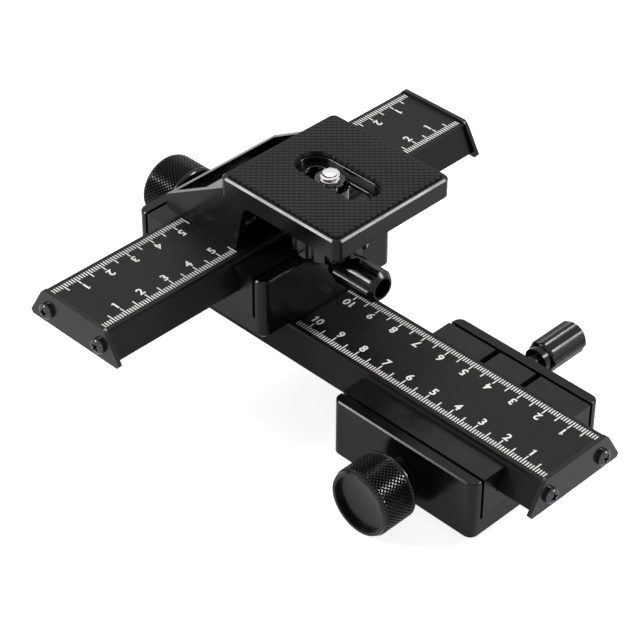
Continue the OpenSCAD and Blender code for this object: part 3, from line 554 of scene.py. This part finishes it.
def makeCrossScrew(kind):
    # head up along +Z, seated at z = 0
    s = screwSettings[kind]
    deselectAll()
    bpy.ops.mesh.primitive_cylinder_add(
        vertices=40, radius=s["headRadius"] * mm, depth=s["headHeight"] * mm,
        location=(0, 0, s["headHeight"] / 2 * mm))
    head = bpy.context.object
    applyPlace(head)
    top = s["headHeight"] * mm
    selectWhere(head, "edges", lambda edge: all(v.co.z > top - levelDistance for v in edge.verts))
    bpy.ops.mesh.bevel(offset=screwSettings["domeShare"] * top, segments=6, profile=0.5,
        clamp_overlap=True)
    bpy.ops.object.mode_set(mode="OBJECT")
    size = s["headRadius"] / screwSettings["cap"]["headRadius"]
    taper = screwSettings["crossTaper"]
    for turn in (45, 135):
        deselectAll()
        bpy.ops.mesh.primitive_cube_add(size=1, location=(0, 0, top))
        bar = bpy.context.object
        bar.scale = (screwSettings["crossLength"] * size * mm,
            screwSettings["crossWidth"] * size * mm,
            2 * screwSettings["crossDepth"] * size * mm)
        bar.rotation_euler = (0, 0, math.radians(turn))
        applyPlace(bar)
        selectWhere(bar, "faces", lambda face: face.normal.z < -0.9)
        bpy.ops.transform.resize(value=(taper, taper, 1))
        bpy.ops.object.mode_set(mode="OBJECT")
        makeActive(head)
        cut = head.modifiers.new("Cross", "BOOLEAN")
        cut.operation = "DIFFERENCE"
        cut.object = bar
        bpy.ops.object.modifier_apply(modifier=cut.name)
        bpy.data.objects.remove(bar)
    deselectAll()
    bpy.ops.mesh.primitive_cylinder_add(
        vertices=24, radius=s["shankRadius"] * mm, depth=s["shankLength"] * mm,
        location=(0, 0, -s["shankLength"] / 2 * mm))
    shank = bpy.context.object
    applyPlace(shank)
    selectWhere(shank, "faces", lambda face: face.normal.z < -0.9)
    inset, drop = screwSettings["shankChamfer"]
    bpy.ops.mesh.inset(thickness=inset * mm)
    bpy.ops.transform.translate(value=(0, 0, -drop * mm))
    bpy.ops.object.mode_set(mode="OBJECT")
    return joinInto(head, [shank])


capScrew = makeCrossScrew("cap")
railEnds = {"lower": (-42.7, 120.8), "upper": (-80, 80)}
capScrewAt = {
    "acrossRail": 12.1,
    "height": 18.0,
    "capThickness": 1.5,
    "turnBySide": 25,       # degrees, so that no two crosses stand alike
    "turnByEnd": 12,
}
for unit, place in units.items():
    screws = []
    for side in (-1, 1):
        for end, out in zip(railEnds[unit], (-1, 1)):
            seat = Vector((side * capScrewAt["acrossRail"],
                end + out * capScrewAt["capThickness"], capScrewAt["height"])) * mm
            lay = Matrix.Rotation(math.radians(-90 * out), 4, "X")
            degrees = capScrewAt["turnBySide"] * side + capScrewAt["turnByEnd"] * out
            spin = Matrix.Rotation(math.radians(degrees), 4, "Z")
            screws.append(copyPiece(capScrew, "screw",
                place @ Matrix.Translation(seat) @ lay @ spin))
    screws = joinInto(screws[0], screws[1:])
    screws.name = unit + "_cap_screws_domed"
    finishPiece(screws, slideOf[unit], blackenedSteel,
        [unit + "_cap_screws"])
bpy.data.objects.remove(capScrew)

platformScrew = makeCrossScrew("platform")
platformScrewAt = {"across": 14, "along": (-5.5, 11), "height": 3}
screws = []
for side in (-1, 1):
    for along in platformScrewAt["along"]:
        seat = Vector((side * platformScrewAt["across"], along, platformScrewAt["height"])) * mm
        screws.append(copyPiece(platformScrew, "screw", platformPlace @ Matrix.Translation(seat)))
screws = joinInto(screws[0], screws[1:])
screws.name = "platform_screws_domed"
# the platform's screws sit in the hollow, in steel painted darker as shade
finishPiece(screws, "upper_slide", dullShadedSteel, ["platform_screws"])
bpy.data.objects.remove(platformScrew)
print("cross-head screws made")


# the camera screw gets a real quarter-inch thread
threadSettings = {
    "crestRadius": 3.1,
    "rootRadius": 2.42,
    "pitch": 1.27,
    "bottom": 0.2,          # above the upper rail's top
    "plainTo": 8.0,
    "top": 26.3,
    "outline": (0.12, 0.44, 0.56, 0.88),    # foot, crest, crest and foot, in pitches
    "bareTip": 0.5,         # of the core above the thread's end
    "tipChamfer": 0.45,
    "coreRadius": 2.46,
    "across": -29.2,        # from the rail's centre
    "around": 32,           # steps of the sweep in one turn
    "merge": 0.003,         # points of the sweep closer than this become one
    "shankEdge": 0.3,
}


def makeCameraScrew():
    s = threadSettings
    turns = math.ceil((s["top"] - s["plainTo"]) / s["pitch"]) + 3
    start = s["plainTo"] - 1.5 * s["pitch"]
    # one pitch of the thread's outline, drawn as a strip of edges and swept round
    deselectAll()
    bpy.ops.mesh.primitive_plane_add(size=1)
    thread = bpy.context.object
    bpy.ops.object.mode_set(mode="EDIT")
    bpy.ops.mesh.delete(type="VERT")
    outline = bmesh.from_edit_mesh(thread.data)
    root, crest = s["rootRadius"], s["crestRadius"]
    steps = zip((root, root, crest, crest, root, root), (0, *s["outline"], 1))
    dots = [outline.verts.new((r * mm, 0, (start + share * s["pitch"]) * mm)) for r, share in steps]
    for a, b in zip(dots, dots[1:]):
        outline.edges.new((a, b))
    bmesh.update_edit_mesh(thread.data)
    bpy.ops.object.mode_set(mode="OBJECT")
    sweep = thread.modifiers.new("Thread", "SCREW")
    sweep.screw_offset = s["pitch"] * mm
    sweep.iterations = turns
    sweep.steps = s["around"]
    sweep.render_steps = s["around"]
    sweep.use_merge_vertices = False
    makeActive(thread)
    bpy.ops.object.modifier_apply(modifier=sweep.name)
    bpy.ops.object.mode_set(mode="EDIT")
    bpy.ops.mesh.select_all(action="SELECT")
    bpy.ops.mesh.remove_doubles(threshold=s["merge"] * mm)
    # the thread's ends are cut square, the upper one a little below the tip
    bpy.ops.mesh.bisect(plane_co=(0, 0, s["plainTo"] * mm), plane_no=(0, 0, 1),
        clear_inner=True)
    bpy.ops.mesh.select_all(action="SELECT")
    bpy.ops.mesh.bisect(plane_co=(0, 0, (s["top"] - s["bareTip"]) * mm), plane_no=(0, 0, 1),
        clear_outer=True)
    bpy.ops.mesh.select_all(action="SELECT")
    bpy.ops.mesh.normals_make_consistent(inside=False)
    bpy.ops.object.mode_set(mode="OBJECT")
    # the core closes the thread and ends in a chamfered tip
    deselectAll()
    bpy.ops.mesh.primitive_cylinder_add(
        vertices=48, radius=s["coreRadius"] * mm, depth=(s["top"] - s["plainTo"]) * mm,
        location=(0, 0, (s["plainTo"] + s["top"]) / 2 * mm))
    core = bpy.context.object
    applyPlace(core)
    tip = s["top"] * mm
    selectWhere(core, "edges", lambda edge: all(v.co.z > tip - levelDistance for v in edge.verts))
    bpy.ops.mesh.bevel(offset=s["tipChamfer"] * mm, segments=2, profile=0.5)
    bpy.ops.object.mode_set(mode="OBJECT")
    # the plain shank below the thread, inside the thumbwheel
    deselectAll()
    bpy.ops.mesh.primitive_cylinder_add(
        vertices=48, radius=s["crestRadius"] * mm, depth=(s["plainTo"] - s["bottom"]) * mm,
        location=(0, 0, (s["plainTo"] + s["bottom"]) / 2 * mm))
    shank = bpy.context.object
    applyPlace(shank)
    roundEdges(shank, s["shankEdge"])
    screw = joinInto(thread, [core, shank])
    screw.name = "camera_screw_threaded"
    applyPlace(screw, platformPlace @ Matrix.Translation((0, s["across"] * mm, 0)))
    return screw


finishPiece(makeCameraScrew(), "camera_knob", brightSteel, ["camera_screw"])
print("camera screw threaded")


padEdge = {"radius": 0.3, "segments": 3}
pad = copyNode("platform_pad", "platform_pad_pipped")
widenPadSlot(pad)
roundEdges(pad, padEdge["radius"], padEdge["segments"])
finishPiece(pad, "upper_slide", padRubber, ["platform_pad"])
print("pad finished")


# the scales are printed on both rails
scaleSettings = {
    "outerEnd": 12.85,      # of every tick, from the rail's centre line
    "shortEnd": 10.8,
    "longEnd": 8.9,
    "tickWidth": 0.42,
    "ink": 0.03,            # thickness of the print
    "digitHeight": 3.0,
    "digitCentre": 6.8,
    "digitWeight": 0.11,    # how far each stroke is fattened
    "fontShare": 0.7,       # of the font's size that a figure is high
    "flagLength": 0.85,     # of the figure one
    "flagWidth": 0.4,
    "flagTurn": 38,         # degrees
    "flagFrom": (-0.12, -0.47),     # from the figure's top left corner
}


def makeTick(innerEnd):
    s = scaleSettings
    deselectAll()
    bpy.ops.mesh.primitive_cube_add(size=1, location=((s["outerEnd"] + innerEnd) / 2 * mm, 0, 0))
    tick = bpy.context.object
    tick.scale = ((s["outerEnd"] - innerEnd) * mm, s["tickWidth"] * mm, s["ink"] * mm)
    applyPlace(tick)
    selectWhere(tick, "faces", lambda face: face.normal.z < -0.9)
    bpy.ops.mesh.delete(type="FACE")      # the side that lies on the rail
    bpy.ops.object.mode_set(mode="OBJECT")
    return tick


def makeTickRow(millimetres):
    # ticks along +Y on the +X side, at every millimetre from 1 on; each fifth is long
    group = []
    for step in range(1, 6):
        tick = makeTick(scaleSettings["longEnd" if step == 5 else "shortEnd"])
        applyPlace(tick, Matrix.Translation((0, step * mm, 0)))
        group.append(tick)
    row = joinInto(group[0], group[1:])
    makeActive(row)
    again = row.modifiers.new("Every five", "ARRAY")
    again.count = math.ceil(millimetres / 5)
    again.use_relative_offset = False
    again.use_constant_offset = True
    again.constant_offset_displace = (0, 5 * mm, 0)
    bpy.ops.object.modifier_apply(modifier=again.name)
    last = (millimetres + 0.5) * mm
    selectWhere(row, "verts", lambda vert: vert.co.y > last)
    bpy.ops.mesh.delete(type="VERT")
    bpy.ops.object.mode_set(mode="OBJECT")
    return row


def makeDigits(number):
    # digits stand with their foot towards -Y and face up, centred on the origin
    s = scaleSettings
    deselectAll()
    bpy.ops.object.text_add()
    words = bpy.context.object
    words.data.body = str(number)
    words.data.size = s["digitHeight"] / s["fontShare"] * mm
    words.data.offset = s["digitWeight"] * mm
    words.data.extrude = s["ink"] / 2 * mm
    words.data.resolution_u = 3
    bpy.ops.object.convert(target="MESH")
    digits = bpy.context.object
    corners = [Vector(corner) for corner in digits.bound_box]
    middle = (max(c.x for c in corners) + min(c.x for c in corners)) / 2
    height = (max(c.y for c in corners) + min(c.y for c in corners)) / 2
    applyPlace(digits, Matrix.Translation((-middle, -height, 0)))
    if str(number).startswith("1"):
        # the figure one gets the short slanting flag of the real print
        left = min(vert.co.x for vert in digits.data.vertices)
        top = max(vert.co.y for vert in digits.data.vertices)
        deselectAll()
        bpy.ops.mesh.primitive_cube_add(size=1)
        flag = bpy.context.object
        flag.scale = Vector((s["flagLength"], s["flagWidth"], s["ink"])) * mm
        flag.rotation_euler = (0, 0, math.radians(s["flagTurn"]))
        flag.location = (left + s["flagFrom"][0] * mm, top + s["flagFrom"][1] * mm, 0)
        applyPlace(flag)
        digits = joinInto(digits, [flag])
    return digits


def makeScaleHalf(zeroAt, direction, millimetres, first, last):
    # both rows of one scale in a rail's own frame, counted along the rail from zeroAt
    s = scaleSettings
    parts = []
    for side in (-1, 1):
        row = makeTickRow(millimetres)
        flip = Matrix.Diagonal((side, direction, 1, 1))
        applyPlace(row, Matrix.Translation((0, zeroAt * mm, 0)) @ flip)
        parts.append(row)
        for number in range(first, last + 1):
            digits = makeDigits(number)
            spot = Vector((side * s["digitCentre"], zeroAt + direction * number * 10, 0)) * mm
            turn = Matrix.Rotation(math.radians(90 * side), 4, "Z")
            applyPlace(digits, Matrix.Translation(spot) @ turn)
            parts.append(digits)
    whole = joinInto(parts[0], parts[1:])
    makeActive(whole)
    bpy.ops.object.mode_set(mode="EDIT")
    bpy.ops.mesh.select_all(action="SELECT")
    bpy.ops.mesh.normals_make_consistent(inside=False)
    bpy.ops.object.mode_set(mode="OBJECT")
    return whole


def printScale(unit, halves):
    parts = [makeScaleHalf(*half) for half in halves]
    scale = joinInto(parts[0], parts[1:])
    scale.name = unit + "_scale_print"
    lift = Matrix.Translation((0, 0, (unitHeight + scaleSettings["ink"] / 2) * mm))
    applyPlace(scale, units[unit] @ lift)
    finishPiece(scale, slideOf[unit], scaleInk)


# where each row starts, its direction, its millimetres, and its first and last figure;
# the upper rail's two scales count inwards from both of its ends
printScale("lower", [(railEnds["lower"][0], 1, 104, 1, 10)])
printScale("upper", [(railEnds["upper"][0], 1, 55, 1, 5), (railEnds["upper"][1], -1, 55, 1, 5)])
print("scales printed")


# CAD nodes that stay as they are get the material of their slot
slotMaterials = {
    "black_anodised": blackAnodised,
    "black_screw": blackenedSteel,
    "zinc_steel": zincSteel,
    "bright_steel": brightSteel,
    "bush_brass": bushBrass,
}
for node in nodes.values():
    if node.hide_render:
        continue
    finish = slotMaterials[slotOfNode[node.name]]
    # the lock screws get the duller steel painted darker as shade, not the material of their slot
    if node.name.endswith("lock_screw"):
        finish = dullShadedSteel
    node.data.materials.clear()
    node.data.materials.append(finish)
print("CAD nodes that stay:", [n.name for n in nodes.values() if not n.hide_render])


cameraSettings = {
    # degrees, millimetres, and the lens in millimetres of a 36 mm sensor
    "azimuth": -45.416,
    "elevation": 37.953,
    "roll": 0.3345,
    "location": (-429.590, -360.029, 487.651),
    "lens": 133.0,
}


def aimCamera():
    s = cameraSettings
    azimuth = math.radians(s["azimuth"])
    elevation = math.radians(s["elevation"])
    back = Vector((math.sin(azimuth) * math.cos(elevation),
        -math.cos(azimuth) * math.cos(elevation), math.sin(elevation)))
    right = Vector((0, 0, 1)).cross(back).normalized()
    up = back.cross(right)
    level = Matrix((right, up, back)).transposed().to_4x4()
    camera = bpy.data.objects.new("Camera", bpy.data.cameras.new("Camera"))
    camera.data.lens = s["lens"]
    camera.data.sensor_width = 36
    camera.data.clip_start = 0.01
    camera.data.clip_end = 20
    camera.matrix_world = (Matrix.Translation(Vector(s["location"]) * mm) @ level
        @ Matrix.Rotation(math.radians(s["roll"]), 4, "Z"))
    bpy.context.scene.collection.objects.link(camera)
    bpy.context.scene.camera = camera


aimCamera()
bpy.context.scene.view_settings.view_transform = "Standard"


studioSettings = {
    "floorHeight": -3.3,
    "floorColour": "#dcdcdc",
    "floorFill": 0.86,      # how much of the floor's white the camera gets without lamps
    "floorShine": 0.55,     # the part of that fill which mirrors and gloss get
    "skyLight": 0.15,
    "target": (0, 0.055, 0.03),     # in metres
    # name: direction, distance in m, width and height in m, brightness
    "lamps": {
        "left_box": ((-0.615, 0.553, 0.562), 0.9, 0.2, 0.2, 39),
        "right_box": ((0.562, -0.615, 0.553), 0.9, 0.2, 0.2, 39),
        "back_box": ((0.34, 0.34, 0.87), 1.0, 0.4, 0.13, 9),
        "front_box": ((-0.6, -0.65, 0.47), 1.2, 0.5, 0.5, 1.0),
    },
}


def addLamp(name, direction, distance, width, height, brightness):
    lamp = bpy.data.lights.new(name, "AREA")
    lamp.shape = "RECTANGLE"
    lamp.size = width
    lamp.size_y = height
    lamp.energy = brightness * math.pi * width * height
    holder = bpy.data.objects.new(name, lamp)
    toLamp = Vector(direction).normalized()
    holder.location = Vector(studioSettings["target"]) + toLamp * distance
    holder.rotation_euler = toLamp.to_track_quat("Z", "Y").to_euler()
    bpy.context.scene.collection.objects.link(holder)


for lampName, lampPlace in studioSettings["lamps"].items():
    addLamp(lampName, *lampPlace)


def layFloor():
    s = studioSettings
    deselectAll()
    bpy.ops.mesh.primitive_plane_add(size=6, location=(0, 0, s["floorHeight"] * mm))
    floor = bpy.context.object
    floor.name = "floor"
    material, tree, shader = newMaterial("pale_paper", {
        "Base Color": hexColour(s["floorColour"]), "Roughness": 0.9,
        "Specular IOR Level": 0.2, "Emission Color": (1, 1, 1, 1)})
    ray = addNode(tree, "ShaderNodeLightPath")
    mirrored = addNode(tree, "ShaderNodeMath", {"operation": "MAXIMUM"}, {
        0: ray.outputs["Is Glossy Ray"], 1: ray.outputs["Is Transmission Ray"]})
    shine = addNode(tree, "ShaderNodeMath", {"operation": "MULTIPLY", 1: s["floorShine"]},
        {0: mirrored.outputs["Value"]})
    seen = addNode(tree, "ShaderNodeMath", {"operation": "MAXIMUM"}, {
        0: ray.outputs["Is Camera Ray"], 1: shine.outputs["Value"]})
    fill = addNode(tree, "ShaderNodeMath", {"operation": "MULTIPLY", 1: s["floorFill"]},
        {0: seen.outputs["Value"]})
    tree.links.new(fill.outputs["Value"], shader.inputs["Emission Strength"])
    floor.data.materials.append(material)


def lightWorld():
    # white to the camera and in reflections and glass, and a soft grey fill elsewhere
    world = bpy.data.worlds.new("studio")
    bpy.context.scene.world = world
    world.use_nodes = True
    tree = world.node_tree
    tree.nodes.clear()
    ray = addNode(tree, "ShaderNodeLightPath")
    seen = addNode(tree, "ShaderNodeMath", {"operation": "MAXIMUM"}, {
        0: ray.outputs["Is Camera Ray"], 1: ray.outputs["Is Glossy Ray"]})
    white = addNode(tree, "ShaderNodeMath", {"operation": "MAXIMUM"}, {
        0: seen.outputs["Value"], 1: ray.outputs["Is Transmission Ray"]})
    level = addNode(tree, "ShaderNodeMapRange", {
        "To Min": studioSettings["skyLight"], "To Max": 1.0}, {"Value": white.outputs["Value"]})
    sky = addNode(tree, "ShaderNodeBackground", {"Color": (1, 1, 1, 1)},
        {"Strength": level.outputs["Result"]})
    addNode(tree, "ShaderNodeOutputWorld", {}, {"Surface": sky.outputs["Background"]})


layFloor()
lightWorld()
print("studio set")
